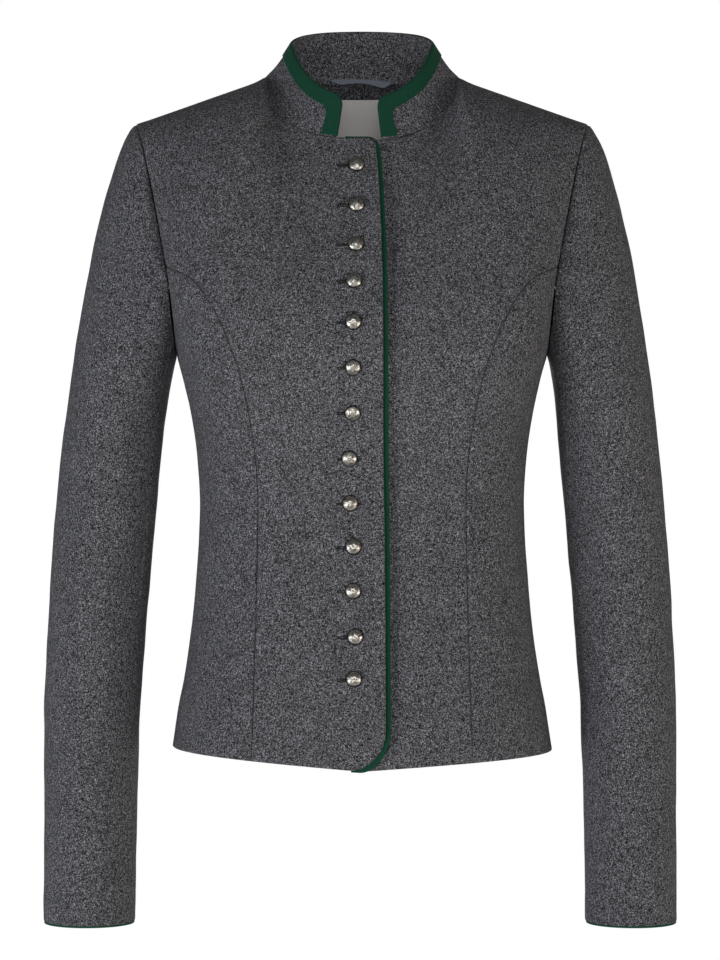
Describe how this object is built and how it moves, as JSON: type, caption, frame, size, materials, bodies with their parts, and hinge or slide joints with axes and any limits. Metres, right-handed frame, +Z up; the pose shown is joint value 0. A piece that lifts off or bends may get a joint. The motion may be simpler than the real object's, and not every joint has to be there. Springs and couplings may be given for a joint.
{
  "type": "tyrolean loden jacket",
  "caption": "Fitted women's loden jacket with a stand collar edged in green felt, domed old-silver buttons down the front, princess seams and long set-in sleeves, in a hollow worn form",
  "frame": {"origin": "midway between the two points where the shoulder seams meet the neckline, where the wearer's shoulders hold the jacket", "axes": "+Z is up, the wearer faces -Y, so the buttoned front looks along -Y; +X is the wearer's left"},
  "size_m": [0.5154, 0.2219, 0.7359],
  "materials": {
    "loden": "dense milled wool, heather grey, short matt nap",
    "loden_inside": "milled wool, turned in as a facing",
    "green_felt": "dark green wool felt, matt",
    "label_weave": "woven satin label, left bare",
    "loop_braid": "flat woven braid",
    "old_silver": "cast antique silver, dark in its hollows"
  },
  "bodies": {
    "root": {"front_right": "loden", "front_left": "loden", "side_front_right": "loden", "side_front_left": "loden", "side_back_right": "loden", "side_back_left": "loden", "back": "loden", "upper_sleeve_right": "loden", "upper_sleeve_left": "loden", "under_sleeve_right": "loden", "under_sleeve_left": "loden", "collar": "loden", "collar_band": "green_felt", "front_piping": "green_felt", "cuff_piping_right": "green_felt", "cuff_piping_left": "green_felt", "back_neck_facing": "loden_inside", "label": "label_weave", "hanger_loop": "loop_braid", "button_01": "old_silver", "button_02": "old_silver", "button_03": "old_silver", "button_04": "old_silver", "button_05": "old_silver", "button_06": "old_silver", "button_07": "old_silver", "button_08": "old_silver", "button_09": "old_silver", "button_10": "old_silver", "button_11": "old_silver", "button_12": "old_silver", "button_13": "old_silver"}
  },
  "joints": []
}
